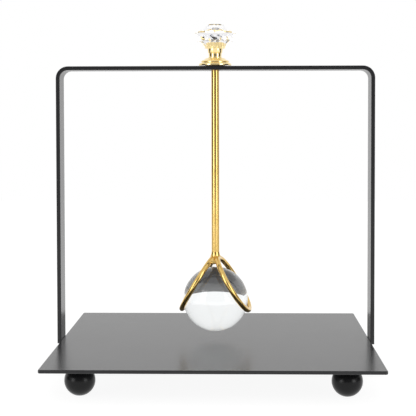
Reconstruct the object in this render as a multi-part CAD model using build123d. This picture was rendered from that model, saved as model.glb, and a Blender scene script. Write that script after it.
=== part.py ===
"""Napkin stand with a lift-up glass weight.

A flat-bar arch straddles a square plate on four ball feet. A round rod slides and turns in a
bush at the middle of the arch. A crystal knob on the rod's top end is its stop and its handle,
and two wire rings brazed to its lower end grip a glass ball that presses on what lies on the plate.

Units are millimetres. X runs along the arch, Y runs through it and Z is up. The origin is on the
surface that the feet stand on, under the middle of the plate.
"""

import os
from math import cos, pi, radians, sin, sqrt

from build123d import *

# ---- driving dimensions -------------------------------------------------------------------

plate_width = 190.0  # along X, between the legs of the arch
plate_depth = 190.0  # along Y
plate_thickness = 2.0
plate_corner_radius = 1.5
plate_edge_round = 0.5

arch_rise = 168.5  # top of the plate to the top of the bar
bar_width = 18.0
bar_thickness = 2.4
bar_bend_radius = 5.0  # inside of the two bends
bar_edge_round = 0.35

weld_radius = 2.0
weld_height = 0.8  # how far a bead stands below the plate
weld_end_margin = 2.0  # from the bead's ends to the bar's edges

foot_diameter = 17.5
foot_inset_x = 20.0  # plate edge to the foot's centre
foot_inset_y = 23.0
foot_seat_diameter = 5.0  # flat that meets the plate
foot_rest_diameter = 5.0  # flat that stands on the table
stud_diameter = 4.0  # the foot's stud, welded to the plate
stud_length = 8.0
stud_tip_room = 1.0  # empty end of the blind hole

rod_diameter = 4.8
rod_tap_depth = 9.0  # blind hole in the rod's top end for the knob's stud

bush_wall = 0.8
bush_flange_diameter = 13.0
bush_flange_thickness = 0.4

ball_diameter = 40.0
ball_hang = 4.5  # from the plate up to the ball, with the knob resting on its bush
wire_diameter = 3.2
ring_lean = 31.0  # degrees between a ring's plane and the rod
ring_grip_angle = 16.6  # degrees below the ball's middle where a ring holds it
cage_turn = -6.5  # degrees about the rod from the arch's own direction
braze_height = 3.4
braze_spread = 0.9  # how far the joint's foot stands out past the rod

rose_diameter = 20.0
rose_lower_height = 2.2
rose_upper_height = 2.3
rose_upper_bottom_diameter = 17.0
rose_upper_top_diameter = 13.0
rose_edge_round = 0.7
neck_diameter = 7.5
neck_height = 3.4  # straight part of the ferrule, between the rose and the flare
flare_foot_diameter = 8.8
flare_diameter = 10.4  # at its top, inside the crystal
flare_height = 7.2
crystal_lift = 2.4  # the crystal's bottom above the foot of the flare
crystal_lip = 0.5  # wall round the socket, in the middle of a flat side
crystal_belly_height = 4.3  # above the crystal's bottom
crystal_belly_inset = 2.7  # how far the belly stands in from the petals' tips
crystal_diameter = 26.0  # across the petals
crystal_girdle_height = 7.0  # from the crystal's bottom to the petals' lower edge
crystal_girdle_width = 3.4  # height of the petals' outer edge
crystal_crown_height = 2.3  # height of the last taper below the flat top
crystal_crown_spread = 1.4  # how far that taper stands out past the flat top
crystal_table_diameter = 10.2
crystal_height = 14.9  # from the crystal's bottom to the flat top
crystal_sides = 8
knob_stud_diameter = 3.0
knob_stud_rise = 3.8  # how far the stud stands out of the ferrule into the crystal

# ---- clearances ---------------------------------------------------------------------------

running_clearance = 0.05  # radial, at the sliding and turning fits
stacking_gap = 0.05  # between faces that rest on one another in different bodies
thread_clearance = 0.05  # radial, round a stud in its plain-walled hole
glue_gap = 0.05  # round the ferrule's flare, the ball and the brazed wires

# ---- heights and places that follow -------------------------------------------------------

foot_radius = foot_diameter / 2
rest_drop = sqrt(foot_radius**2 - (foot_rest_diameter / 2) ** 2)
seat_rise = sqrt(foot_radius**2 - (foot_seat_diameter / 2) ** 2)
plate_bottom = rest_drop + seat_rise
plate_top = plate_bottom + plate_thickness
arch_top = plate_top + arch_rise
arch_underside = arch_top - bar_thickness

bush_bore_diameter = rod_diameter + 2 * running_clearance
bush_barrel_diameter = bush_bore_diameter + 2 * bush_wall
arch_hole_diameter = bush_barrel_diameter + 2 * running_clearance
bush_top = arch_top + stacking_gap + bush_flange_thickness
knob_bottom = bush_top + stacking_gap

rose_top = knob_bottom + rose_lower_height + rose_upper_height
flare_bottom = rose_top + neck_height
ferrule_top = flare_bottom + flare_height
crystal_bottom = flare_bottom + crystal_lift

wire_radius = wire_diameter / 2
ball_radius = ball_diameter / 2
ball_centre = plate_top + ball_hang + ball_radius
grip_reach = ball_radius + glue_gap + wire_radius
ring_tip_x = grip_reach * cos(radians(ring_grip_angle))
ring_tip_z = ball_centre - grip_reach * sin(radians(ring_grip_angle))
ring_top_x = wire_radius + glue_gap
ring_radius = (ring_tip_x - ring_top_x) / (2 * sin(radians(ring_lean)))
ring_top_z = ring_tip_z + 2 * ring_radius * cos(radians(ring_lean))
rod_bottom = ring_top_z + wire_radius + glue_gap

BASE = (Align.CENTER, Align.CENTER, Align.MIN)
TOP = (Align.CENTER, Align.CENTER, Align.MAX)


def foot_places():
    """Name and centre, in X and Y, of each of the four feet."""
    x = plate_width / 2 - foot_inset_x
    y = plate_depth / 2 - foot_inset_y
    return {
        "front_left": (-x, -y),
        "front_right": (x, -y),
        "rear_left": (-x, y),
        "rear_right": (x, y),
    }


# ---- the stand ----------------------------------------------------------------------------


def base_plate():
    """Square sheet with softened corners and edges."""
    plate = Pos(0, 0, plate_bottom) * Box(plate_width, plate_depth, plate_thickness, align=BASE)
    plate = fillet(plate.edges().filter_by(Axis.Z), plate_corner_radius)
    rims = plate.edges().group_by(Axis.Z)
    return fillet(rims[0] + rims[-1], plate_edge_round)


def arch_block(width, height, depth, corner_radius):
    """Upright block standing at the plate's underside, with its two upper corners rounded."""
    block = Pos(0, 0, plate_bottom) * Box(width, depth, height, align=BASE)
    upper_corners = block.edges().filter_by(Axis.Y).group_by(Axis.Z)[-1]
    return fillet(upper_corners, corner_radius)


def arch_frame():
    """Flat bar bent into an arch, its legs against the plate's side edges."""
    outer = arch_block(
        plate_width + 2 * bar_thickness,
        arch_top - plate_bottom,
        bar_width,
        bar_bend_radius + bar_thickness,
    )
    inner = arch_block(plate_width, arch_underside - plate_bottom, 2 * bar_width, bar_bend_radius)
    bar = outer - inner
    faces = bar.faces().filter_by(Axis.Y)
    bar = fillet(faces.edges(), bar_edge_round)
    hole = Pos(0, 0, arch_top) * Cylinder(arch_hole_diameter / 2, 3 * bar_thickness)
    return bar - hole


def leg_weld(side, plate, arch):
    """Weld bead under the seam between the plate's edge and one leg."""
    length = bar_width - 2 * weld_end_margin
    axis_height = plate_bottom - weld_height + weld_radius
    bead = Rot(90, 0, 0) * Cylinder(weld_radius, length)
    bead = Pos(side * plate_width / 2, 0, axis_height) * bead
    bead = bead - Pos(0, 0, plate_bottom) * Box(
        2 * plate_width, plate_depth, 2 * weld_radius, align=BASE
    )
    return bead - plate - arch


def ball_foot(x, y):
    """Ball foot with a flat to stand on, a flat seat and a blind hole for its stud."""
    ball = Pos(0, 0, rest_drop) * Sphere(foot_radius)
    foot = ball & Box(foot_diameter, foot_diameter, plate_bottom, align=BASE)
    hole_depth = stud_length + stud_tip_room
    hole = Pos(0, 0, plate_bottom) * Cylinder(
        stud_diameter / 2 + thread_clearance, hole_depth, align=TOP
    )
    return Pos(x, y, 0) * (foot - hole)


def foot_stud(x, y):
    """Stud that stands down from the plate into one foot."""
    return Pos(x, y, plate_bottom) * Cylinder(stud_diameter / 2, stud_length, align=TOP)


# ---- the guide ----------------------------------------------------------------------------


def guide_bush():
    """Flanged bush that hangs in the arch's hole and guides the rod."""
    flange = Pos(0, 0, bush_top) * Cylinder(
        bush_flange_diameter / 2, bush_flange_thickness, align=TOP
    )
    barrel_length = bush_top - arch_underside
    barrel = Pos(0, 0, bush_top) * Cylinder(bush_barrel_diameter / 2, barrel_length, align=TOP)
    bore = Pos(0, 0, bush_top) * Cylinder(bush_bore_diameter / 2, 3 * barrel_length)
    return flange + barrel - bore


# ---- the weight ---------------------------------------------------------------------------


def knob_stud_place(radius):
    """Round bar on the rod's axis, from the rod's tapped hole up into the crystal."""
    bottom = knob_bottom - rod_tap_depth
    length = ferrule_top + knob_stud_rise - bottom
    return Pos(0, 0, bottom) * Cylinder(radius, length, align=BASE)


def knob_stud():
    """Threaded stud that ties the rod, the rose, the ferrule and the crystal together."""
    return knob_stud_place(knob_stud_diameter / 2)


def knob_stud_hole():
    """Hole that the stud passes through, in every piece that it ties."""
    return knob_stud_place(knob_stud_diameter / 2 + thread_clearance)


def lift_rod():
    """Round rod from the cage up through the bush to the underside of the knob."""
    rod = Pos(0, 0, rod_bottom) * Cylinder(rod_diameter / 2, knob_bottom - rod_bottom, align=BASE)
    return rod - knob_stud_hole()


def knob_rose():
    """Stepped turned flange that rests on the bush."""
    step = knob_bottom + rose_lower_height
    lower = Pos(0, 0, knob_bottom) * Cylinder(rose_diameter / 2, rose_lower_height, align=BASE)
    lower = fillet(lower.edges().group_by(Axis.Z)[-1], rose_edge_round)
    upper = Pos(0, 0, step) * Cone(
        rose_upper_bottom_diameter / 2, rose_upper_top_diameter / 2, rose_upper_height, align=BASE
    )
    upper = fillet(upper.edges().group_by(Axis.Z)[-1], rose_edge_round)
    return lower + upper - knob_stud_hole()


def knob_ferrule():
    """Turned neck that flares out inside the crystal's socket."""
    neck = Pos(0, 0, rose_top) * Cylinder(neck_diameter / 2, neck_height, align=BASE)
    flare = Pos(0, 0, flare_bottom) * Cone(
        flare_foot_diameter / 2, flare_diameter / 2, flare_height, align=BASE
    )
    return neck + flare - knob_stud_hole()


def crystal_socket_radius():
    """Radius of the socket that takes the ferrule's flare."""
    return flare_diameter / 2 + glue_gap


def knob_crystal():
    """Faceted flower-shaped crystal, a stack of eight-sided tapers, glued over the flare."""
    socket_radius = crystal_socket_radius()
    petal_radius = crystal_diameter / 2
    table_radius = crystal_table_diameter / 2
    levels = [
        ((socket_radius + crystal_lip) / cos(pi / crystal_sides), 0),
        (petal_radius - crystal_belly_inset, crystal_belly_height),
        (petal_radius, crystal_girdle_height),
        (petal_radius, crystal_girdle_height + crystal_girdle_width),
        (table_radius + crystal_crown_spread, crystal_height - crystal_crown_height),
        (table_radius, crystal_height),
    ]
    sections = [
        Pos(0, 0, crystal_bottom + rise) * RegularPolygon(radius, crystal_sides)
        for radius, rise in levels
    ]
    socket_depth = ferrule_top + glue_gap - crystal_bottom
    socket = Pos(0, 0, crystal_bottom) * Cylinder(socket_radius, socket_depth, align=BASE)
    return loft(sections, ruled=True) - socket - knob_stud_hole()


def cage_ring(side):
    """Wire ring that leans out from the rod's end and holds the ball with its lower edge."""
    lean = radians(ring_lean)
    centre_x = ring_top_x + ring_radius * sin(lean)
    centre_z = ring_top_z - ring_radius * cos(lean)
    ring = Rot(0, side * (90 - ring_lean), 0) * Torus(ring_radius, wire_radius)
    return Rot(0, 0, cage_turn) * (Pos(side * centre_x, 0, centre_z) * ring)


def cage_braze(rod, rings):
    """Brazed joint that fills the corner between the rod's end and the tops of both rings."""
    spread_radius = rod_diameter / 2 + braze_spread
    cone = Pos(0, 0, ring_top_z + wire_radius / 2) * Cone(
        spread_radius, rod_diameter / 2 + glue_gap, braze_height, align=BASE
    )
    joint = cone - rod
    for ring in rings:
        joint = joint - ring
    return joint


def glass_ball():
    """Solid glass ball, the weight."""
    return Pos(0, 0, ball_centre) * Sphere(ball_radius)


# ---- every piece in its own node ----------------------------------------------------------


def build_stand():
    """The fixed pieces, by node name."""
    plate = base_plate()
    arch = arch_frame()
    nodes = {
        "base_plate": plate,
        "arch_frame": arch,
        "leg_weld_left": leg_weld(-1, plate, arch),
        "leg_weld_right": leg_weld(1, plate, arch),
        "foot_studs": Compound(children=[foot_stud(x, y) for x, y in foot_places().values()]),
    }
    for name, (x, y) in foot_places().items():
        nodes["foot_" + name] = ball_foot(x, y)
    return nodes


def build_weight():
    """The pieces that lift and turn together, by node name."""
    rod = lift_rod()
    left = cage_ring(-1)
    right = cage_ring(1)
    return {
        "lift_rod": rod,
        "cage_ring_left": left,
        "cage_ring_right": right,
        "cage_braze": cage_braze(rod, [left, right]),
        "glass_ball": glass_ball(),
        "knob_stud": knob_stud(),
        "knob_rose": knob_rose(),
        "knob_ferrule": knob_ferrule(),
        "knob_crystal": knob_crystal(),
    }


def main():
    """Builds every node and writes it to its own STEP file."""
    os.makedirs("parts", exist_ok=True)
    nodes = build_stand()
    nodes["guide_bush"] = guide_bush()
    nodes.update(build_weight())
    for name, shape in nodes.items():
        export_step(shape, "parts/" + name + ".step")


main()
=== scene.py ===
"""Looks of the napkin stand with a lift-up glass weight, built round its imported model.

The stand, the guide bush, the rod with its cage, the knob and the ball are each a class, and so is
the studio round them. Lengths are metres, in the model's own frame: X runs along the arch, Y runs
through it from front to back, and Z is up.
"""

import logging
from dataclasses import dataclass, field, replace
from enum import Enum

import bpy
import numpy as np
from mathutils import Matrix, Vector

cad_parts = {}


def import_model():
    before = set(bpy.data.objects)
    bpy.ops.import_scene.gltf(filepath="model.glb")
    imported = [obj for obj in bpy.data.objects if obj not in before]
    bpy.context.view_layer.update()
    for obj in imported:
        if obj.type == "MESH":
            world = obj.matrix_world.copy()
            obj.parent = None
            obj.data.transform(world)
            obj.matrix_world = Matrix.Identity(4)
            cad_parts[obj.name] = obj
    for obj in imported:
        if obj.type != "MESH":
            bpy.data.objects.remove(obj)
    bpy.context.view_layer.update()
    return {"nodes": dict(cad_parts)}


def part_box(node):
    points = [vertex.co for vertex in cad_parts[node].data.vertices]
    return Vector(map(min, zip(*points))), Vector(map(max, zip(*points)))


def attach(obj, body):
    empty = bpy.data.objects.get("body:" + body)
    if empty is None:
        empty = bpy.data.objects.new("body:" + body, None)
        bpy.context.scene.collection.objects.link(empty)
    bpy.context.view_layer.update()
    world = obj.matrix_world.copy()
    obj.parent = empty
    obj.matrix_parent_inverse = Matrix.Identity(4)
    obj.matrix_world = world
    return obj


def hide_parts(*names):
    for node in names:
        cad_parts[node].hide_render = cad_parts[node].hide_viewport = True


LOG = logging.getLogger("napkin_stand")
MM = 0.001
TURN = 2 * np.pi

Colour = tuple[float, float, float]


class Body(Enum):
    """The three bodies that the joints move."""

    STAND = "stand"
    GUIDE = "guide"
    LIFTER = "lifter"


class Slot(Enum):
    """The record's material slots."""

    BLACK_ENAMEL = "black_enamel"
    GOLD_PLATE = "gold_plate"
    KNOB_GOLD = "knob_gold"
    CUT_CRYSTAL = "cut_crystal"
    BALL_GLASS = "ball_glass"
    STUD_STEEL = "stud_steel"
    BUSH_NYLON = "bush_nylon"


# ---- shared shader groups ----


class Wiring:
    """A small helper that adds and joins nodes in one tree."""

    def __init__(self, tree: bpy.types.NodeTree) -> None:
        """Keeps the tree that the nodes go in."""
        self.tree = tree

    def node(self, kind: str, **settings: object) -> bpy.types.Node:
        """Adds a node.

        Args:
            kind: Blender's type name for the node.
            settings: properties to set on it.

        Returns:
            The new node.
        """
        made = self.tree.nodes.new(kind)
        for name, value in settings.items():
            setattr(made, name, value)
        return made

    def join(self, source: bpy.types.NodeSocket, target: bpy.types.NodeSocket) -> None:
        """Links an output to an input."""
        self.tree.links.new(source, target)

    def noise(
        self, vector: bpy.types.NodeSocket, scale: float, detail: float
    ) -> bpy.types.NodeSocket:
        """Adds a noise texture.

        Args:
            vector: where it is read.
            scale: its frequency, per metre.
            detail: its octaves.

        Returns:
            Its grey value, about 0.5 on average.
        """
        texture = self.node("ShaderNodeTexNoise")
        texture.inputs["Scale"].default_value = scale
        texture.inputs["Detail"].default_value = detail
        self.join(vector, texture.inputs["Vector"])
        return texture.outputs["Fac"]

    def spread(
        self, value: bpy.types.NodeSocket, low: float, high: float, to_low: float, to_high: float
    ) -> bpy.types.NodeSocket:
        """Maps a value from one range to another, clamped.

        Args:
            value: the value to map.
            low: the input that becomes to_low.
            high: the input that becomes to_high.
            to_low: the result at low.
            to_high: the result at high.

        Returns:
            The mapped value.
        """
        mapped = self.node("ShaderNodeMapRange")
        self.join(value, mapped.inputs["Value"])
        for name, number in (
            ("From Min", low),
            ("From Max", high),
            ("To Min", to_low),
            ("To Max", to_high),
        ):
            mapped.inputs[name].default_value = number
        return mapped.outputs["Result"]

    def maths(
        self, operation: str, first: bpy.types.NodeSocket, second: object
    ) -> bpy.types.NodeSocket:
        """Adds a maths node.

        Args:
            operation: Blender's name for it.
            first: the first input.
            second: the second input, a socket or a number.

        Returns:
            Its result.
        """
        made = self.node("ShaderNodeMath", operation=operation)
        self.join(first, made.inputs[0])
        if isinstance(second, bpy.types.NodeSocket):
            self.join(second, made.inputs[1])
        else:
            made.inputs[1].default_value = float(second)
        return made.outputs[0]

    def blend(
        self, mask: bpy.types.NodeSocket, low: object, high: object
    ) -> bpy.types.NodeSocket:
        """Mixes two colours by a mask.

        Args:
            mask: 0 gives low and 1 gives high.
            low: a colour or a colour socket.
            high: a colour or a colour socket.

        Returns:
            The mixed colour.
        """
        mixed = self.node("ShaderNodeMix", data_type="RGBA")
        self.join(mask, mixed.inputs[0])
        for side, colour in ((6, low), (7, high)):
            if isinstance(colour, bpy.types.NodeSocket):
                self.join(colour, mixed.inputs[side])
            else:
                mixed.inputs[side].default_value = (*colour, 1.0)
        return mixed.outputs[2]


def open_group(
    name: str, inputs: dict[str, float], outputs: list[str]
) -> tuple[bpy.types.NodeTree, Wiring, bpy.types.Node, bpy.types.Node]:
    """Starts a shader group with a Vector input and float sockets.

    Args:
        name: the group's name.
        inputs: float inputs and their defaults.
        outputs: float outputs.

    Returns:
        The group, its wiring helper, and its input and output nodes.
    """
    group = bpy.data.node_groups.new(name, "ShaderNodeTree")
    group.interface.new_socket("Vector", in_out="INPUT", socket_type="NodeSocketVector")
    for title, default in inputs.items():
        socket = group.interface.new_socket(title, in_out="INPUT", socket_type="NodeSocketFloat")
        socket.default_value = default
    for title in outputs:
        group.interface.new_socket(title, in_out="OUTPUT", socket_type="NodeSocketFloat")
    wiring = Wiring(group)
    return group, wiring, wiring.node("NodeGroupInput"), wiring.node("NodeGroupOutput")


@dataclass
class ShaderGroups:
    """The effects that several finishes share, each built once."""

    mottle_stretch: tuple[float, float] = (0.75, 1.25)
    edge_radius: float = 0.35 * MM
    edge_samples: int = 6
    # The edge mask's cosines, where the wear and the painted edge highlight begin and are full.
    edge_lean: tuple[float, float] = (0.95, 0.78)  # cosines where wear begins and is full
    edge_breaks: tuple[float, float] = (0.45, 0.62)
    edge_noise: float = 900.0
    dusty_slope: tuple[float, float] = (0.55, 0.95)
    dust_patches: tuple[float, float] = (0.42, 0.68)
    dust_noise: float = 140.0
    mottle: bpy.types.NodeTree = field(init=False)
    grain: bpy.types.NodeTree = field(init=False)
    edge_wear_and_highlight: bpy.types.NodeTree = field(init=False)
    dust: bpy.types.NodeTree = field(init=False)

    def __post_init__(self) -> None:
        """Builds every group."""
        self.mottle = self.build_mottle()
        self.grain = self.build_grain()
        self.edge_wear_and_highlight = self.build_edge_wear_and_highlight()
        self.dust = self.build_dust()

    def build_mottle(self) -> bpy.types.NodeTree:
        """Builds broad and small cloudy patches.

        Returns:
            A group whose Mask is two noises, one five times finer, added and stretched.
        """
        group, w, start, end = open_group("cloudy_mottle", {"Scale": 60.0}, ["Mask"])
        scaled = w.node("ShaderNodeVectorMath", operation="SCALE")
        w.join(start.outputs["Vector"], scaled.inputs[0])
        w.join(start.outputs["Scale"], scaled.inputs["Scale"])
        broad = w.noise(scaled.outputs[0], 1.0, 3.0)
        small = w.noise(scaled.outputs[0], 5.0, 4.0)
        total = w.maths("ADD", broad, small)
        w.join(w.spread(total, *self.mottle_stretch, 0.0, 1.0), end.inputs["Mask"])
        return group

    @staticmethod
    def build_grain() -> bpy.types.NodeTree:
        """Builds the fine tooth of sprayed or plated metal.

        Returns:
            A group whose Height is a fine noise plus half of one three times finer.
        """
        group, w, start, end = open_group("fine_grain", {"Scale": 2500.0}, ["Height"])
        scaled = w.node("ShaderNodeVectorMath", operation="SCALE")
        w.join(start.outputs["Vector"], scaled.inputs[0])
        w.join(start.outputs["Scale"], scaled.inputs["Scale"])
        coarse = w.noise(scaled.outputs[0], 1.0, 2.0)
        fine = w.maths("MULTIPLY", w.noise(scaled.outputs[0], 3.0, 1.0), 0.5)
        w.join(w.maths("ADD", coarse, fine), end.inputs["Height"])
        return group

    def build_edge_wear_and_highlight(self) -> bpy.types.NodeTree:
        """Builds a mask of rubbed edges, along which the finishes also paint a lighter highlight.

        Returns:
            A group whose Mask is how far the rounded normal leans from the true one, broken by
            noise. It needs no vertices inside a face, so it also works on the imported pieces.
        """
        group, w, start, end = open_group("rubbed_and_highlit_edges", {"Amount": 1.0}, ["Mask"])
        rounded = w.node("ShaderNodeBevel", samples=self.edge_samples)
        rounded.inputs["Radius"].default_value = self.edge_radius
        aligned = w.node("ShaderNodeVectorMath", operation="DOT_PRODUCT")
        w.join(rounded.outputs["Normal"], aligned.inputs[0])
        w.join(w.node("ShaderNodeNewGeometry").outputs["Normal"], aligned.inputs[1])
        edge = w.spread(aligned.outputs["Value"], *self.edge_lean, 0.0, 1.0)
        noise = w.noise(start.outputs["Vector"], self.edge_noise, 4.0)
        broken = w.spread(noise, *self.edge_breaks, 0.0, 1.0)
        # The mask is partly real wear and partly a painted highlight along the edges.
        worn_and_highlit = w.maths("MULTIPLY", edge, broken)
        w.join(w.maths("MULTIPLY", worn_and_highlit, start.outputs["Amount"]), end.inputs["Mask"])
        return group

    def build_dust(self) -> bpy.types.NodeTree:
        """Builds a thin dust that lies on faces that look up.

        Returns:
            A group whose Mask is the normal's upward part times a broken noise.
        """
        group, w, start, end = open_group("settled_dust", {"Amount": 0.1}, ["Mask"])
        parts = w.node("ShaderNodeSeparateXYZ")
        w.join(w.node("ShaderNodeNewGeometry").outputs["Normal"], parts.inputs[0])
        upward = w.spread(parts.outputs["Z"], *self.dusty_slope, 0.0, 1.0)
        noise = w.noise(start.outputs["Vector"], self.dust_noise, 6.0)
        patches = w.spread(noise, *self.dust_patches, 0.0, 1.0)
        settled = w.maths("MULTIPLY", upward, patches)
        w.join(w.maths("MULTIPLY", settled, start.outputs["Amount"]), end.inputs["Mask"])
        return group


# ---- finishes ----


class Finish:
    """What every finish shares: a material with one Principled shader and Object coordinates."""

    name: str

    def start(self) -> tuple[bpy.types.Material, Wiring, bpy.types.Node, bpy.types.NodeSocket]:
        """Makes the bare material.

        Returns:
            The material, its wiring helper, its shader and its Object coordinates.
        """
        material = bpy.data.materials.new(self.name)
        material.use_nodes = True
        wiring = Wiring(material.node_tree)
        shader = material.node_tree.nodes["Principled BSDF"]
        place = wiring.node("ShaderNodeTexCoord").outputs["Object"]
        return material, wiring, shader, place

    @staticmethod
    def effect(
        wiring: Wiring, group: bpy.types.NodeTree, place: bpy.types.NodeSocket, setting: float
    ) -> bpy.types.NodeSocket:
        """Places a shared group.

        Args:
            wiring: the material's helper.
            group: the shared group.
            place: the coordinates that it reads.
            setting: the value of its one float input.

        Returns:
            The group's output.
        """
        made = wiring.node("ShaderNodeGroup", node_tree=group)
        wiring.join(place, made.inputs["Vector"])
        made.inputs[1].default_value = setting
        return made.outputs[0]

    @staticmethod
    def emboss(
        wiring: Wiring,
        shader: bpy.types.Node,
        height: bpy.types.NodeSocket,
        depth: float,
    ) -> None:
        """Sends a height through a Bump node into the shader's normal.

        Args:
            wiring: the material's helper.
            shader: the shader that takes the normal.
            height: the height, about 0 to 1.
            depth: what a height of 1 stands for, in metres.
        """
        bump = wiring.node("ShaderNodeBump")
        bump.inputs["Distance"].default_value = depth
        wiring.join(height, bump.inputs["Height"])
        wiring.join(bump.outputs["Normal"], shader.inputs["Normal"])


@dataclass(frozen=True)
class LayeredFinish(Finish):
    """An opaque finish: a cloudy ground, rubbed edges with a painted lighter highlight over it, and
    settled dust over both.
    """

    name: str
    ground: Colour
    cloud: Colour
    # The colour of the edges: partly rubbed wear, partly a painted highlight lighter than the
    # ground.
    rubbed_and_highlit: Colour
    roughness: tuple[float, float]  # where the mottle is 0 and where it is 1
    mottle_scale: float
    grain_scale: float
    grain_depth: float
    # How strongly the edges take that colour, as wear and as a painted highlight.
    wear_and_highlight: float
    dust: float = 0.0
    dust_colour: Colour = (0.16, 0.155, 0.15)
    dust_roughness: float = 0.8
    first_cloud: float = 0.0  # the mottle at which the cloud begins
    metallic: float = 0.0
    specular: float = 0.5

    def build(self, groups: ShaderGroups) -> bpy.types.Material:
        """Makes the material.

        Args:
            groups: the shared effects.

        Returns:
            The material.
        """
        material, w, shader, place = self.start()
        mottle = self.effect(w, groups.mottle, place, self.mottle_scale)
        # The edge mask marks rubbed edges and also paints a lighter highlight along them.
        wear_and_highlight = self.effect(w, groups.edge_wear_and_highlight, place, self.wear_and_highlight)
        dust = self.effect(w, groups.dust, place, self.dust)
        grain = self.effect(w, groups.grain, place, self.grain_scale)
        clouds = w.spread(mottle, self.first_cloud, 1.0, 0.0, 1.0)
        # Along the edges the colour turns to the lighter rubbed one: partly wear, partly a painted
        # edge highlight.
        worn_and_highlit = w.blend(wear_and_highlight, w.blend(clouds, self.ground, self.cloud), self.rubbed_and_highlit)
        w.join(w.blend(dust, worn_and_highlit, self.dust_colour), shader.inputs["Base Color"])
        clean = w.spread(mottle, 0.0, 1.0, *self.roughness)
        dulled = w.maths("MULTIPLY", dust, self.dust_roughness)
        w.join(w.maths("ADD", clean, dulled), shader.inputs["Roughness"])
        self.emboss(w, shader, grain, self.grain_depth)
        shader.inputs["Metallic"].default_value = self.metallic
        shader.inputs["Specular IOR Level"].default_value = self.specular
        return material


@dataclass(frozen=True)
class GlassFinish(Finish):
    """Clear glass, with faint finger marks in its roughness and a trace of ripple."""

    name: str
    tint: Colour
    refraction: float
    polish: float
    marked_roughness: float
    ripple_scale: float
    ripple_depth: float
    mark_scale: float = 55.0
    first_mark: float = 0.6  # the mottle at which a mark begins
    marked_share: float = 0.985  # the light that a mark lets through
    dust: float = 0.02
    dust_roughness: float = 0.4
    lost_light: Colour = (0.0, 0.0, 0.0)
    last_reflection: float = 4.0

    def build(self, groups: ShaderGroups) -> bpy.types.Material:
        """Makes the material.

        Args:
            groups: the shared effects.

        Returns:
            The material.
        """
        material, w, shader, place = self.start()
        marks = self.effect(w, groups.mottle, place, self.mark_scale)
        dust = self.effect(w, groups.dust, place, self.dust)
        ripple = w.noise(place, self.ripple_scale, 1.0)
        smear = w.spread(marks, self.first_mark, 1.0, self.polish, self.marked_roughness)
        dulled = w.maths("MULTIPLY", dust, self.dust_roughness)
        w.join(w.maths("ADD", smear, dulled), shader.inputs["Roughness"])
        pale = tuple(self.marked_share * part for part in self.tint)
        w.join(w.blend(marks, self.tint, pale), shader.inputs["Base Color"])
        self.emboss(w, shader, ripple, self.ripple_depth)
        shader.inputs["IOR"].default_value = self.refraction
        shader.inputs["Transmission Weight"].default_value = 1.0
        if any(self.lost_light):
            self.keep_lost_light(material, w, shader)
        return material

    def keep_lost_light(
        self, material: bpy.types.Material, w: Wiring, shader: bpy.types.Node
    ) -> None:
        """Lights the rays that bounce inside the facets too often to be followed further.

        A ray that has been reflected four times is dropped as black, so the surface that it meets
        then gives it an average of the surround's light. A ray with fewer reflections gets none.

        Args:
            material: the glass.
            w: the material's helper.
            shader: the shader that takes the light.
        """
        bounces = w.node("ShaderNodeLightPath").outputs["Glossy Depth"]
        lost = w.spread(bounces, self.last_reflection - 1, self.last_reflection, 0.0, 1.0)
        w.join(w.blend(lost, (0.0, 0.0, 0.0), self.lost_light), shader.inputs["Emission Color"])
        shader.inputs["Emission Strength"].default_value = 1.0
        material.cycles.emission_sampling = "NONE"


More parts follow.
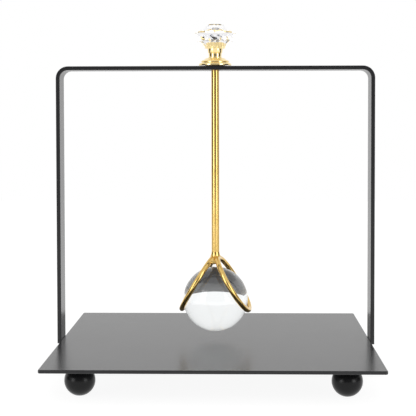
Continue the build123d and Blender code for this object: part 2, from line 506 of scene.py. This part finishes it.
@dataclass
class Finishes:
    """Every finish of the object, made once."""

    groups: ShaderGroups
    enamel: bpy.types.Material = field(init=False)
    weld_enamel: bpy.types.Material = field(init=False)
    foot_enamel: bpy.types.Material = field(init=False)
    plate_gold: bpy.types.Material = field(init=False)
    knob_gold: bpy.types.Material = field(init=False)
    crystal: bpy.types.Material = field(init=False)
    ball_glass: bpy.types.Material = field(init=False)
    steel: bpy.types.Material = field(init=False)
    nylon: bpy.types.Material = field(init=False)

    def __post_init__(self) -> None:
        """Builds every material."""
        # Every finish's rubbed edge colour is lighter than its ground: wear, with a painted
        # highlight along the edges.
        groups = self.groups
        enamel = LayeredFinish(
            "satin_black_enamel",
            ground=(0.0120, 0.0120, 0.0130),
            cloud=(0.0145, 0.0145, 0.0155),
            rubbed_and_highlit=(0.06, 0.06, 0.06),
            roughness=(0.250, 0.262),
            mottle_scale=35.0,
            grain_scale=1100.0,
            grain_depth=0.0000008,
            wear_and_highlight=0.2,
            dust=0.003,
            specular=0.38,
        )
        self.enamel = enamel.build(groups)
        self.weld_enamel = replace(
            enamel, name="enamel_over_weld", grain_scale=420.0, grain_depth=0.00006
        ).build(groups)
        self.foot_enamel = replace(
            enamel,
            name="foot_black_enamel",
            ground=(0.005, 0.005, 0.0055),
            cloud=(0.007, 0.007, 0.0075),
            roughness=(0.22, 0.26),
            wear_and_highlight=0.1,
            specular=0.22,
        ).build(groups)
        gold = LayeredFinish(
            "cage_gold_plate",
            ground=(0.77, 0.53, 0.18),
            cloud=(0.68, 0.45, 0.13),
            # The gold's edge colour is its ground times 1.12: a painted sheen along the edges, with
            # the wear.
            rubbed_and_highlit=(0.8624, 0.5936, 0.2016),
            roughness=(0.15, 0.18),
            mottle_scale=130.0,
            grain_scale=1800.0,
            grain_depth=0.0000003,
            wear_and_highlight=0.5,
            dust=0.03,
            dust_colour=(0.45, 0.42, 0.38),
            dust_roughness=0.9,
            first_cloud=0.25,
            metallic=1.0,
        )
        self.plate_gold = gold.build(groups)
        self.knob_gold = replace(
            gold,
            name="knob_bright_gold",
            ground=(0.97, 0.78, 0.40),
            cloud=(0.92, 0.71, 0.33),
            rubbed_and_highlit=(1.0, 0.8736, 0.448),
            roughness=(0.04, 0.08),
            mottle_scale=160.0,
        ).build(groups)
        self.crystal = GlassFinish(
            "cut_crystal_clear",
            tint=(0.88, 0.88, 0.895),
            refraction=1.49,
            polish=0.04,
            marked_roughness=0.06,
            ripple_scale=160.0,
            ripple_depth=0.0000005,
            lost_light=(0.74, 0.72, 0.67),
        ).build(groups)
        self.ball_glass = GlassFinish(
            "ball_clear_glass",
            tint=(0.945, 0.962, 0.965),
            refraction=1.5,
            polish=0.0,
            marked_roughness=0.03,
            ripple_scale=40.0,
            ripple_depth=0.000001,
        ).build(groups)
        self.steel = LayeredFinish(
            "zinc_stud_steel",
            ground=(0.42, 0.43, 0.45),
            cloud=(0.62, 0.63, 0.65),
            rubbed_and_highlit=(0.75, 0.75, 0.76),
            roughness=(0.38, 0.24),
            mottle_scale=300.0,
            grain_scale=3000.0,
            grain_depth=0.000004,
            wear_and_highlight=0.8,
            metallic=1.0,
        ).build(groups)
        self.nylon = LayeredFinish(
            "bush_black_nylon",
            ground=(0.018, 0.018, 0.019),
            cloud=(0.03, 0.03, 0.03),
            rubbed_and_highlit=(0.07, 0.07, 0.07),
            roughness=(0.45, 0.58),
            mottle_scale=220.0,
            grain_scale=2200.0,
            grain_depth=0.000015,
            wear_and_highlight=0.7,
        ).build(groups)


# ---- surfaces ----


def mesh_object(name: str, points: np.ndarray, faces: np.ndarray, smooth: bool) -> bpy.types.Object:
    """Puts points and faces into a new object at the origin.

    Args:
        name: the piece's name.
        points: one row of three metres for each vertex.
        faces: one row of four vertex numbers for each face; a repeated last number is a triangle.
        smooth: whether its faces are shaded smooth.

    Returns:
        The linked object.
    """
    rows = [row[:3] if row[3] == row[2] else row for row in faces.tolist()]
    mesh = bpy.data.meshes.new(name)
    mesh.from_pydata(points.tolist(), [], rows)
    mesh.validate()
    mesh.polygons.foreach_set("use_smooth", np.full(len(mesh.polygons), smooth))
    mesh.update()
    made = bpy.data.objects.new(name, mesh)
    bpy.context.scene.collection.objects.link(made)
    return made


def grid_faces(rows: int, columns: int, wrap_rows: bool) -> np.ndarray:
    """Quads of a grid whose columns close on themselves.

    Quad (i, j) joins points (i, j), (i, j+1), (i+1, j+1) and (i+1, j), counted round the columns.

    Args:
        rows: number of rings.
        columns: points in each ring.
        wrap_rows: whether the last ring joins the first, as in a hoop.

    Returns:
        One row of four vertex numbers for each quad.
    """
    i = np.arange(rows if wrap_rows else rows - 1)[:, None]
    j = np.arange(columns)[None, :]
    after_i, after_j = (i + 1) % rows, (j + 1) % columns
    corners = [
        i * columns + j,
        i * columns + after_j,
        after_i * columns + after_j,
        after_i * columns + j,
    ]
    quads = np.stack([np.broadcast_to(c, (len(i), columns)) for c in corners], -1)
    return quads.reshape(-1, 4)


def rings_about_z(radius: np.ndarray, height: np.ndarray, columns: int) -> np.ndarray:
    """Stacks level rings, whose points are x = r cos t and y = r sin t.

    Args:
        radius: a row for each ring, with one radius or one for each of its points.
        height: a row for each ring, with its height.
        columns: points in each ring.

    Returns:
        The points, by ring and by column.
    """
    t = np.arange(columns) * TURN / columns
    x, y = radius * np.cos(t), radius * np.sin(t)
    return np.stack([x, y, np.broadcast_to(height, x.shape)], -1)


def capped_surface(
    name: str, rings: np.ndarray, poles: np.ndarray, smooth: bool
) -> bpy.types.Object:
    """A closed solid: a stack of rings, with a fan of triangles to a pole at each end.

    Args:
        name: the piece's name.
        rings: the points, by ring and by column.
        poles: the point that closes the first ring and the one that closes the last.
        smooth: whether its faces are shaded smooth.

    Returns:
        The object.
    """
    count, columns = rings.shape[:2]
    last = (count - 1) * columns
    j = np.arange(columns)
    after = (j + 1) % columns
    pole = np.full(columns, count * columns)
    faces = np.concatenate(
        [
            grid_faces(count, columns, False),
            np.stack([after, j, pole, pole], -1),
            np.stack([last + j, last + after, pole + 1, pole + 1], -1),
        ]
    )
    return mesh_object(name, np.concatenate([rings.reshape(-1, 3), poles]), faces, smooth)


def turned_surface(name: str, outline: np.ndarray, columns: int = 96) -> bpy.types.Object:
    """A closed solid turned about Z.

    The outline's (radius, height) points run from the bottom of the axis to its top. Each point
    with a radius makes a ring, and the two ends are poles.

    Args:
        name: the piece's name.
        outline: (radius, height) rows, first and last on the axis.
        columns: points round each ring.

    Returns:
        The object.
    """
    rings = rings_about_z(outline[1:-1, :1], outline[1:-1, 1:], columns)
    poles = np.array([[0, 0, outline[0, 1]], [0, 0, outline[-1, 1]]])
    return capped_surface(name, rings, poles, True)


def turned_tube(name: str, outline: np.ndarray, columns: int = 96) -> bpy.types.Object:
    """A ring-shaped solid turned about Z from a closed outline that stays off the axis.

    Args:
        name: the piece's name.
        outline: (radius, height) rows, running up the outside and down the inside.
        columns: points round each ring.

    Returns:
        The object.
    """
    points = rings_about_z(outline[:, :1], outline[:, 1:], columns).reshape(-1, 3)
    return mesh_object(name, points, grid_faces(len(outline), columns, True), True)


def rounded_outline(corners: list[tuple[float, float, float]], steps: int = 6) -> np.ndarray:
    """An outline with its corners rounded.

    At each corner the line leaves its side at a set distance and follows a quadratic curve,
    (1-t)^2 a + 2 t (1-t) corner + t^2 b, to the same distance along the next side.

    Args:
        corners: (radius, height, distance) of each corner; a distance of 0 leaves it sharp.
        steps: pieces in each rounded corner.

    Returns:
        (radius, height) rows.
    """
    rows = []
    for index, (radius, height, distance) in enumerate(corners):
        corner = np.array([radius, height])
        if distance == 0 or index in (0, len(corners) - 1):
            rows.append(corner[None, :])
            continue
        before = np.array(corners[index - 1][:2]) - corner
        after = np.array(corners[index + 1][:2]) - corner
        a = corner + before / np.linalg.norm(before) * distance
        b = corner + after / np.linalg.norm(after) * distance
        t = np.linspace(0, 1, steps + 1)[:, None]
        rows.append((1 - t) ** 2 * a + 2 * t * (1 - t) * corner + t**2 * b)
    return np.concatenate(rows)


def extent(node: str) -> tuple[Vector, Vector, float]:
    """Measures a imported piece.

    Args:
        node: its name.

    Returns:
        Its lowest corner, its highest corner and half its width.
    """
    low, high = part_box(node)
    return low, high, (high.x - low.x) / 2


def paint(piece: bpy.types.Object, material: bpy.types.Material) -> None:
    """Gives a piece one material in every slot."""
    slots = piece.data.materials
    if not slots:
        slots.append(material)
    for index in range(len(slots)):
        slots[index] = material


def place_piece(
    piece: bpy.types.Object, body: Body, slot: Slot, material: bpy.types.Material, *nodes: str
) -> None:
    """Dresses a new piece, rides it on its body and hides the nodes that it replaces.

    Args:
        piece: the new piece.
        body: the body that it moves with.
        slot: the record's slot for its finish; not used.
        material: its finish.
        nodes: the nodes that it replaces.
    """
    paint(piece, material)
    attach(piece, body.value)
    if nodes:
        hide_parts(*nodes)
    LOG.info("%s: %d faces, rides on %s", piece.name, len(piece.data.polygons), body.value)


# ---- the stand ----


@dataclass
class Stand:
    """The plate, the arch, its welds and the four feet on their studs."""

    nodes: dict[str, bpy.types.Object]
    finishes: Finishes
    corners: tuple[str, ...] = ("front_left", "front_right", "rear_left", "rear_right")
    foot_rings: int = 72
    rest_flat: float = 2.5 * MM
    rest_ring: float = 1.5 * MM  # a ring on the flat, inside its edge
    stud_hole: float = 2.05 * MM
    stud_room: float = 9 * MM

    def build(self) -> None:
        """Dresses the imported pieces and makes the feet."""
        for name in ("base_plate", "arch_frame"):
            self.dress(name, self.finishes.enamel)
        for side in ("left", "right"):
            self.dress("leg_weld_" + side, self.finishes.weld_enamel)
        self.dress("foot_studs", self.finishes.steel)
        for corner in self.corners:
            self.build_foot(corner)

    def dress(self, name: str, material: bpy.types.Material) -> None:
        """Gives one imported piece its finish."""
        paint(self.nodes[name], material)
        LOG.info("%s: dressed in %s", name, material.name)

    def build_foot(self, corner: str) -> None:
        """Makes one ball foot with a flat to stand on and a hole for its stud.

        The outline is a circle's arc, radius R cos a and height centre + R sin a, cut level at
        the table and at the plate, then down the wall of the hole to its floor.

        Args:
            corner: which foot.
        """
        low, high, radius = extent("foot_" + corner)
        centre = np.array([(low.x + high.x) / 2, (low.y + high.y) / 2, 0])
        middle = np.sqrt(radius**2 - self.rest_flat**2)
        start = -np.arcsin(middle / radius)
        end = np.arcsin((high.z - middle) / radius)
        a = np.linspace(start, end, self.foot_rings)
        arc = np.stack([radius * np.cos(a), middle + radius * np.sin(a)], -1)
        hole_floor = high.z - self.stud_room
        outline = np.concatenate(
            [
                [[0, low.z], [self.rest_ring, low.z]],
                arc,
                [[self.stud_hole, high.z], [self.stud_hole, hole_floor], [0, hole_floor]],
            ]
        )
        foot = turned_surface("ball_foot_" + corner, outline)
        move_mesh(foot, centre)
        place_piece(
            foot, Body.STAND, Slot.BLACK_ENAMEL, self.finishes.foot_enamel, "foot_" + corner
        )


def move_mesh(piece: bpy.types.Object, shift: np.ndarray) -> None:
    """Moves a piece's vertices, so that its object stays at the origin."""
    count = len(piece.data.vertices)
    points = np.zeros(count * 3)
    piece.data.vertices.foreach_get("co", points)
    piece.data.vertices.foreach_set("co", (points.reshape(-1, 3) + shift).ravel())
    piece.data.update()


# ---- the guide ----


@dataclass
class GuideBush:
    """The thin flanged bush that guides the rod, under the knob."""

    finishes: Finishes
    wall: float = 0.8 * MM
    flange_thickness: float = 0.4 * MM
    bore_radius: float = 2.45 * MM
    rounding: float = 0.12 * MM
    edge_steps: int = 4

    def build(self) -> None:
        """Makes the bush: up the barrel, out under the flange, over it and down the bore."""
        low, high, flange_radius = extent("guide_bush")
        barrel_radius = self.bore_radius + self.wall
        under = high.z - self.flange_thickness
        edge = self.rounding
        outline = rounded_outline(
            [
                (self.bore_radius, low.z, 0),
                (barrel_radius, low.z, edge),
                (barrel_radius, under, edge),
                (flange_radius, under, edge),
                (flange_radius, high.z, edge),
                (self.bore_radius, high.z, 0),
            ],
            self.edge_steps,
        )
        bush = turned_tube("flanged_guide_bush", outline)
        place_piece(bush, Body.GUIDE, Slot.BUSH_NYLON, self.finishes.nylon, "guide_bush")


# ---- the rod and cage ----


@dataclass
class RodAndCage:
    """The round rod, the two wire rings and the solder that joins them."""

    finishes: Finishes
    wire_radius: float = 1.6 * MM
    ring_radius: float = 18.540 * MM
    ring_lean: float = float(np.radians(31.0))
    cage_turn: float = float(np.radians(-6.5))
    ring_top_x: float = 1.65 * MM
    around_ring: int = 256
    around_wire: int = 40
    stud_hole: float = 1.55 * MM
    tap_depth: float = 9.0 * MM
    rod_softening: float = 0.3 * MM
    shaft_margin: float = 2.0 * MM
    shaft_rings: int = 60
    around_rod: int = 64
    solder_reach: float = 0.55  # radians round the hoop, either side of its top
    solder_thickness: float = 1.45 * MM
    solder_ripple: float = 0.06
    solder_rings: int = 59
    around_solder: int = 32
    collar_hollow: float = 1.7
    collar_rings: int = 16
    collar_overlap: float = 0.2 * MM

    def build(self) -> None:
        """Makes the rod, both rings and the solder."""
        self.build_rod()
        for side, name in ((-1, "left"), (1, "right")):
            self.build_ring(side, name)
        self.build_solder()
        self.build_collar()

    def plate(self, piece: bpy.types.Object, *nodes: str) -> None:
        """Gives a piece its gold plate and lets it ride on the lifter.

        Args:
            piece: the new piece.
            nodes: the nodes that it replaces.
        """
        place_piece(piece, Body.LIFTER, Slot.GOLD_PLATE, self.finishes.plate_gold, *nodes)

    def build_rod(self) -> None:
        """Makes the rod with a softened lower end and a blind tapped hole in its top."""
        low, high, radius = extent("lift_rod")
        softening = self.rod_softening
        hole_floor = high.z - self.tap_depth
        margin = self.shaft_margin
        shaft = np.linspace(low.z + margin, high.z - margin, self.shaft_rings)
        outline = np.concatenate(
            [
                [[0, low.z], [radius - softening, low.z], [radius, low.z + softening]],
                np.stack([np.full(len(shaft), radius), shaft], -1),
                [[radius, high.z], [self.stud_hole, high.z]],
                [[self.stud_hole, hole_floor], [0, hole_floor]],
            ]
        )
        rod = turned_surface("round_lift_rod", outline, self.around_rod)
        self.plate(rod, "lift_rod")

    def ring_points(self, side: int) -> np.ndarray:
        """Works out one leaning hoop.

        A hoop in its own plane is centre + R (cos u e1 + sin u e2), and the wire round it adds
        r (cos v outward + sin v normal). e1 points down the lean, e2 along Y, and the whole is
        turned about Z by the cage's turn.

        Args:
            side: -1 for the left ring and 1 for the right.

        Returns:
            The hoop's points, ring by ring.
        """
        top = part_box("cage_ring_" + ("left" if side < 0 else "right"))[1].z
        reach = self.ring_radius
        sin_lean, cos_lean = np.sin(self.ring_lean), np.cos(self.ring_lean)
        rise = reach * cos_lean + self.wire_radius
        centre = np.array([side * (self.ring_top_x + reach * sin_lean), 0, top - rise])
        down = np.array([side * sin_lean, 0, -cos_lean])
        across = np.array([0.0, 1.0, 0.0])
        normal = np.cross(down, across)
        u = (np.arange(self.around_ring) * TURN / self.around_ring)[:, None, None]
        v = (np.arange(self.around_wire) * TURN / self.around_wire)[None, :, None]
        outward = np.cos(u) * down + np.sin(u) * across
        points = centre + reach * outward
        points = points + self.wire_radius * (np.cos(v) * outward + np.sin(v) * normal)
        return self.turn_cage(points.reshape(-1, 3))

    def turn_cage(self, points: np.ndarray) -> np.ndarray:
        """Turns points about Z by the cage's own turn.

        Args:
            points: rows of three metres.

        Returns:
            The turned points.
        """
        c, s = np.cos(self.cage_turn), np.sin(self.cage_turn)
        return points @ np.array([[c, -s, 0], [s, c, 0], [0, 0, 1]]).T

    def build_ring(self, side: int, name: str) -> None:
        """Makes one wire ring.

        Args:
            side: -1 for the left ring and 1 for the right.
            name: its side in words.
        """
        faces = grid_faces(self.around_ring, self.around_wire, True)[:, ::-1]
        ring = mesh_object("cage_wire_" + name, self.ring_points(side), faces, True)
        self.plate(ring, "cage_ring_" + name)

    def build_solder(self) -> None:
        """Makes the solder that fills the V between the two wires.

        Its middle line runs between the hoops, at y = R sin u and at the wires' own height, for u
        on either side of the top. Round it goes an ellipse as wide as the gap between the wires'
        middles, faintly rippled, which thins to nothing at both ends by the fourth root of
        1 - (u / end)^2.
        """
        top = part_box("cage_ring_left")[1].z - self.wire_radius
        u = np.linspace(-self.solder_reach, self.solder_reach, self.solder_rings + 2)[1:-1, None]
        v = (np.arange(self.around_solder) * TURN / self.around_solder)[None, :]
        taper = (1 - (u / self.solder_reach) ** 2) ** 0.25
        drop = self.ring_radius * (1 - np.cos(u))
        wide = (self.ring_top_x + drop * np.sin(self.ring_lean)) * taper
        thick = self.solder_thickness * taper * (1 + self.solder_ripple * np.sin(9 * u + 2 * v))
        x = wide * np.cos(v)
        y = self.ring_radius * np.sin(u) + 0 * v
        z = top - drop * np.cos(self.ring_lean) + thick * np.sin(v)
        ends = np.array([u[0, 0], u[-1, 0]])
        end_z = top - self.ring_radius * (1 - np.cos(ends)) * np.cos(self.ring_lean)
        poles = np.stack([0 * ends, self.ring_radius * np.sin(ends), end_z], -1)
        rings = self.turn_cage(np.stack([x, y, z], -1))
        web = capped_surface("solder_between_wires", rings, self.turn_cage(poles), True)
        face_outwards(web)
        self.plate(web)

    def build_collar(self) -> None:
        """Makes the solder's collar, a cone with a hollow flank from the wires up the rod."""
        low, high, foot = extent("cage_braze")
        rod = extent("lift_rod")[2]
        t = np.linspace(0, 1, self.collar_rings)
        radius = rod + (foot - rod) * (1 - t) ** self.collar_hollow
        flank = np.stack([radius, low.z + t * (high.z - low.z)], -1)
        inside = rod - self.collar_overlap
        outline = np.concatenate([[[inside, low.z]], flank, [[inside, high.z]]])
        self.plate(turned_tube("solder_collar", outline, self.around_rod), "cage_braze")


def face_outwards(piece: bpy.types.Object) -> None:
    """Turns a closed surface's faces outwards where its signed volume is negative."""
    mesh = piece.data
    mesh.calc_loop_triangles()
    corners = np.zeros(len(mesh.loop_triangles) * 3, np.int32)
    mesh.loop_triangles.foreach_get("vertices", corners)
    points = np.zeros(len(mesh.vertices) * 3)
    mesh.vertices.foreach_get("co", points)
    a, b, c = (points.reshape(-1, 3)[corners.reshape(-1, 3)[:, k]] for k in range(3))
    if np.einsum("ij,ij->i", a, np.cross(b, c)).sum() < 0:
        mesh.flip_normals()


# ---- the knob ----


@dataclass
class Knob:
    """The stepped rose, the flared ferrule, the threaded stud and the cut crystal."""

    finishes: Finishes
    petals: int = 8
    stud_pitch: float = 0.5 * MM
    stud_core: float = 1.22 * MM
    hole_radius: float = 1.55 * MM
    flare_foot: float = 4.4 * MM
    neck_height: float = 3.4 * MM
    glue_overlap: float = 0.03 * MM
    around_rose: int = 128
    around_stud: int = 32
    rings_per_pitch: int = 6

    def build(self) -> None:
        """Makes the four pieces of the knob."""
        self.build_rose()
        self.build_ferrule()
        self.build_stud()
        self.build_crystal()

    def build_rose(self) -> None:
        """Makes the stepped rose, with a bead between its two tiers and a hole for the stud."""
        low, high, foot = extent("knob_rose")
        base, crown = low.z, high.z
        outline = rounded_outline(
            [
                (self.hole_radius, base, 0),
                (foot, base, 0.25 * MM),
                (foot, base + 1.0 * MM, 0.35 * MM),
                (foot - 0.9 * MM, base + 1.7 * MM, 0.35 * MM),
                (foot - 1.6 * MM, base + 1.8 * MM, 0.1 * MM),
                (foot - 1.6 * MM, base + 2.3 * MM, 0.1 * MM),
                (foot - 1.2 * MM, base + 2.6 * MM, 0.12 * MM),
                (foot - 1.7 * MM, base + 3.1 * MM, 0.25 * MM),
                (foot - 3.2 * MM, base + 3.7 * MM, 0.4 * MM),
                (foot - 3.6 * MM, base + 4.1 * MM, 0.15 * MM),
                (foot - 4.2 * MM, crown, 0.2 * MM),
                (self.hole_radius, crown, 0),
            ]
        )
        rose = turned_tube("stepped_knob_rose", outline, self.around_rose)
        place_piece(rose, Body.LIFTER, Slot.KNOB_GOLD, self.finishes.knob_gold, "knob_rose")

    def build_ferrule(self) -> None:
        """Makes the waisted neck, its bead, and the flare that goes up into the crystal."""
        low, high, widest = extent("knob_ferrule")
        base = low.z
        outline = rounded_outline(
            [
                (self.hole_radius, base, 0),
                (4.3 * MM, base, 0.15 * MM),
                (4.3 * MM, base + 0.5 * MM, 0.2 * MM),
                (3.9 * MM, base + 0.8 * MM, 0.2 * MM),
                (4.0 * MM, base + 3.0 * MM, 0.2 * MM),
                (self.flare_foot, base + self.neck_height, 0.15 * MM),
                (widest, high.z, 0.1 * MM),
                (self.hole_radius, high.z, 0),
            ]
        )
        ferrule = turned_tube("flared_knob_ferrule", outline)
        place_piece(
            ferrule, Body.LIFTER, Slot.KNOB_GOLD, self.finishes.knob_gold, "knob_ferrule"
        )

    def build_stud(self) -> None:
        """Makes the threaded stud.

        Its radius is the core's plus the thread's depth times a triangle wave of
        height / pitch - angle / turn, faded out over one pitch at each end.
        """
        low, high, crest = extent("knob_stud")
        columns = self.around_stud
        rows = int((high.z - low.z) / self.stud_pitch * self.rings_per_pitch) + 1
        z = np.linspace(low.z, high.z, rows)[:, None]
        turned = np.arange(columns) / columns
        phase = (z / self.stud_pitch - turned) % 1.0
        wave = 1 - np.abs(2 * phase - 1)
        fade = np.clip(np.minimum(z - low.z, high.z - z) / self.stud_pitch, 0, 1)
        radius = self.stud_core + (crest - self.stud_core) * wave * fade
        poles = np.array([[0, 0, low.z], [0, 0, high.z]])
        rings = rings_about_z(radius, z, columns)
        stud = capped_surface("threaded_knob_stud", rings, poles, False)
        place_piece(stud, Body.LIFTER, Slot.STUD_STEEL, self.finishes.steel, "knob_stud")

    def build_crystal(self) -> None:
        """Makes the flower-cut crystal over its socket.

        The outside is a stack of sixteen-cornered levels, whose corners alternate between a
        petal's tip and the notch beside it. The inside follows the flare and the stud, a hair
        inside their surfaces, because clear glue fills the joint and leaves no air in it.
        """
        low, high, tip = extent("knob_crystal")
        base, height = low.z, high.z - low.z
        flare_low, flare_high, widest = extent("knob_ferrule")
        flare_top = flare_high.z
        slope = (widest - self.flare_foot) / (flare_top - flare_low.z - self.neck_height)
        mouth = widest - slope * (flare_top - base)
        _, stud_high, stud = extent("knob_stud")
        # share of the height, tip radius, notch radius
        levels = [
            (0.000, 6.20 * MM, 5.85 * MM),
            (0.289, tip - 2.7 * MM, 9.2 * MM),
            (0.470, tip, 11.4 * MM),
            (0.698, tip, 11.4 * MM),
            (0.846, 6.50 * MM, 6.2 * MM),
            (1.000, 5.10 * MM, 4.8 * MM),
        ]
        corners = 2 * self.petals
        odd = (np.arange(corners) % 2).astype(float)
        share, tips, notches = (np.array(column)[:, None] for column in zip(*levels))
        radius = tips * (1 - odd) + notches * odd
        outer = rings_about_z(radius, base + share * height, corners)
        glue = self.glue_overlap
        inner_levels = np.array(
            [
                (mouth - glue, base),
                (widest - glue, flare_top - glue),
                (stud - glue, flare_top - glue),
                (stud - glue, stud_high.z - glue),
            ]
        )
        inner = rings_about_z(inner_levels[:, :1], inner_levels[:, 1:], corners)
        poles = np.array([[0, 0, stud_high.z - glue], [0, 0, high.z]])
        rings = np.concatenate([inner[::-1], outer])
        crystal = capped_surface("flower_cut_crystal", rings, poles, False)
        place_piece(
            crystal, Body.LIFTER, Slot.CUT_CRYSTAL, self.finishes.crystal, "knob_crystal"
        )


# ---- the ball ----


@dataclass
class GlassWeight:
    """The solid glass ball in the cage."""

    finishes: Finishes
    rings: int = 128
    columns: int = 256

    def build(self) -> None:
        """Makes the ball: radius R cos a and height centre + R sin a, from pole to pole."""
        low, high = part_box("glass_ball")
        radius, middle = (high.z - low.z) / 2, (high.z + low.z) / 2
        a = np.linspace(-np.pi / 2, np.pi / 2, self.rings)
        outline = np.stack([radius * np.cos(a), middle + radius * np.sin(a)], -1)
        outline[0, 0] = outline[-1, 0] = 0
        ball = turned_surface("clear_glass_ball", outline, self.columns)
        place_piece(
            ball, Body.LIFTER, Slot.BALL_GLASS, self.finishes.ball_glass, "glass_ball"
        )


# ---- the studio ----


@dataclass
class Studio:
    """The pale floor, the soft lights and the camera."""

    floor_size: float = 3.0
    floor_grey: float = 0.12
    floor_roughness: float = 0.9
    floor_specular: float = 0.1
    floor_glow: float = 0.92
    world_strength: float = 1.0
    darkest_front: float = 0.24
    front_ramp: tuple[float, float] = (-0.80, -0.15)
    darkest_side: float = 0.08
    side_ramp: tuple[float, float] = (0.90, 0.97)
    overhead_ramp: tuple[float, float] = (0.30, 0.62)
    least_through_glass: float = 0.65
    softbox_place: tuple[float, float, float] = (0.80, -0.80, 0.30)
    softbox_size: tuple[float, float] = (0.42, 0.9)
    softbox_watts: float = 4.2
    lit_height: float = 0.1
    camera_place: tuple[float, float, float] = (0.0141, -0.7202, 0.1539)
    camera_turn: tuple[float, float, float] = (1.5316, 0.0019, 0.0258)
    lens: float = 100.84
    rise: float = -0.10

    def build(self) -> None:
        """Makes the floor, the world, the lights and the camera."""
        self.build_floor()
        self.build_world()
        self.build_light("softbox_left", -1)
        self.build_light("softbox_right", 1)
        self.build_camera()

    def build_floor(self) -> None:
        """Lays the pale floor just under the feet."""
        half = self.floor_size / 2
        points = np.array([[-half, -half, 0], [half, -half, 0], [half, half, 0], [-half, half, 0]])
        floor = mesh_object("studio_floor", points, np.array([[0, 1, 2, 3]]), False)
        material = bpy.data.materials.new("pale_floor")
        material.use_nodes = True
        shader = material.node_tree.nodes["Principled BSDF"]
        shader.inputs["Base Color"].default_value = (*[self.floor_grey] * 3, 1)
        shader.inputs["Roughness"].default_value = self.floor_roughness
        shader.inputs["Specular IOR Level"].default_value = self.floor_specular
        shader.inputs["Emission Color"].default_value = (1, 1, 1, 1)
        shader.inputs["Emission Strength"].default_value = self.floor_glow
        paint(floor, material)

    def build_world(self) -> None:
        """Makes the white surround, with level dark flags that only reflections see.

        The flags stand in front and at both sides. Their shade ramps with the direction's Y and
        with the size of its X, and fades to white as its Z rises. The camera sees plain white,
        and a ray that leaves the glass sees no less than a set brightness.
        """
        world = bpy.data.worlds.new("white_surround")
        world.use_nodes = True
        w = Wiring(world.node_tree)
        background = world.node_tree.nodes["Background"]
        background.inputs["Strength"].default_value = self.world_strength
        parts = w.node("ShaderNodeSeparateXYZ")
        w.join(w.node("ShaderNodeTexCoord").outputs["Generated"], parts.inputs[0])
        front = w.spread(parts.outputs["Y"], *self.front_ramp, self.darkest_front, 1.0)
        sideways = w.maths("ABSOLUTE", parts.outputs["X"], 0.0)
        side = w.spread(sideways, *self.side_ramp, 1.0, self.darkest_side)
        level = w.maths("MINIMUM", front, side)
        overhead = w.spread(parts.outputs["Z"], *self.overhead_ramp, 0.0, 1.0)
        room = w.maths("MAXIMUM", level, overhead)
        path = w.node("ShaderNodeLightPath")
        through_glass = w.maths(
            "MULTIPLY", path.outputs["Is Transmission Ray"], self.least_through_glass
        )
        seen = w.maths("MAXIMUM", path.outputs["Is Camera Ray"], through_glass)
        w.join(w.maths("MAXIMUM", room, seen), background.inputs["Color"])
        bpy.context.scene.world = world
        bpy.context.scene.view_settings.view_transform = "Standard"

    def build_light(self, name: str, side: int) -> None:
        """Hangs one soft rectangular light, aimed at the middle of the object.

        Args:
            name: the light's name.
            side: -1 for the left and 1 for the right.
        """
        data = bpy.data.lights.new(name, "AREA")
        data.shape = "RECTANGLE"
        data.size, data.size_y = self.softbox_size
        data.energy = self.softbox_watts
        light = bpy.data.objects.new(name, data)
        across, back, up = self.softbox_place
        place = Vector((side * across, back, up))
        light.location = place
        aim = Vector((0, 0, self.lit_height)) - place
        light.rotation_euler = aim.to_track_quat("-Z", "Y").to_euler()
        bpy.context.scene.collection.objects.link(light)

    def build_camera(self) -> None:
        """Sets up the camera in front of the stand, tilted a little down."""
        data = bpy.data.cameras.new("studio_camera")
        data.lens = self.lens
        data.sensor_width = 36.0
        data.shift_y = self.rise
        camera = bpy.data.objects.new("studio_camera", data)
        camera.location = self.camera_place
        camera.rotation_euler = self.camera_turn
        bpy.context.scene.collection.objects.link(camera)
        bpy.context.scene.camera = camera


# ---- all together ----


def main() -> None:
    """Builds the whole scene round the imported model."""
    logging.basicConfig(level=logging.INFO, format="%(name)s: %(message)s")
    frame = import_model()
    finishes = Finishes(ShaderGroups())
    Stand(frame["nodes"], finishes).build()
    GuideBush(finishes).build()
    RodAndCage(finishes).build()
    Knob(finishes).build()
    GlassWeight(finishes).build()
    Studio().build()


if __name__ == "__main__":
    main()
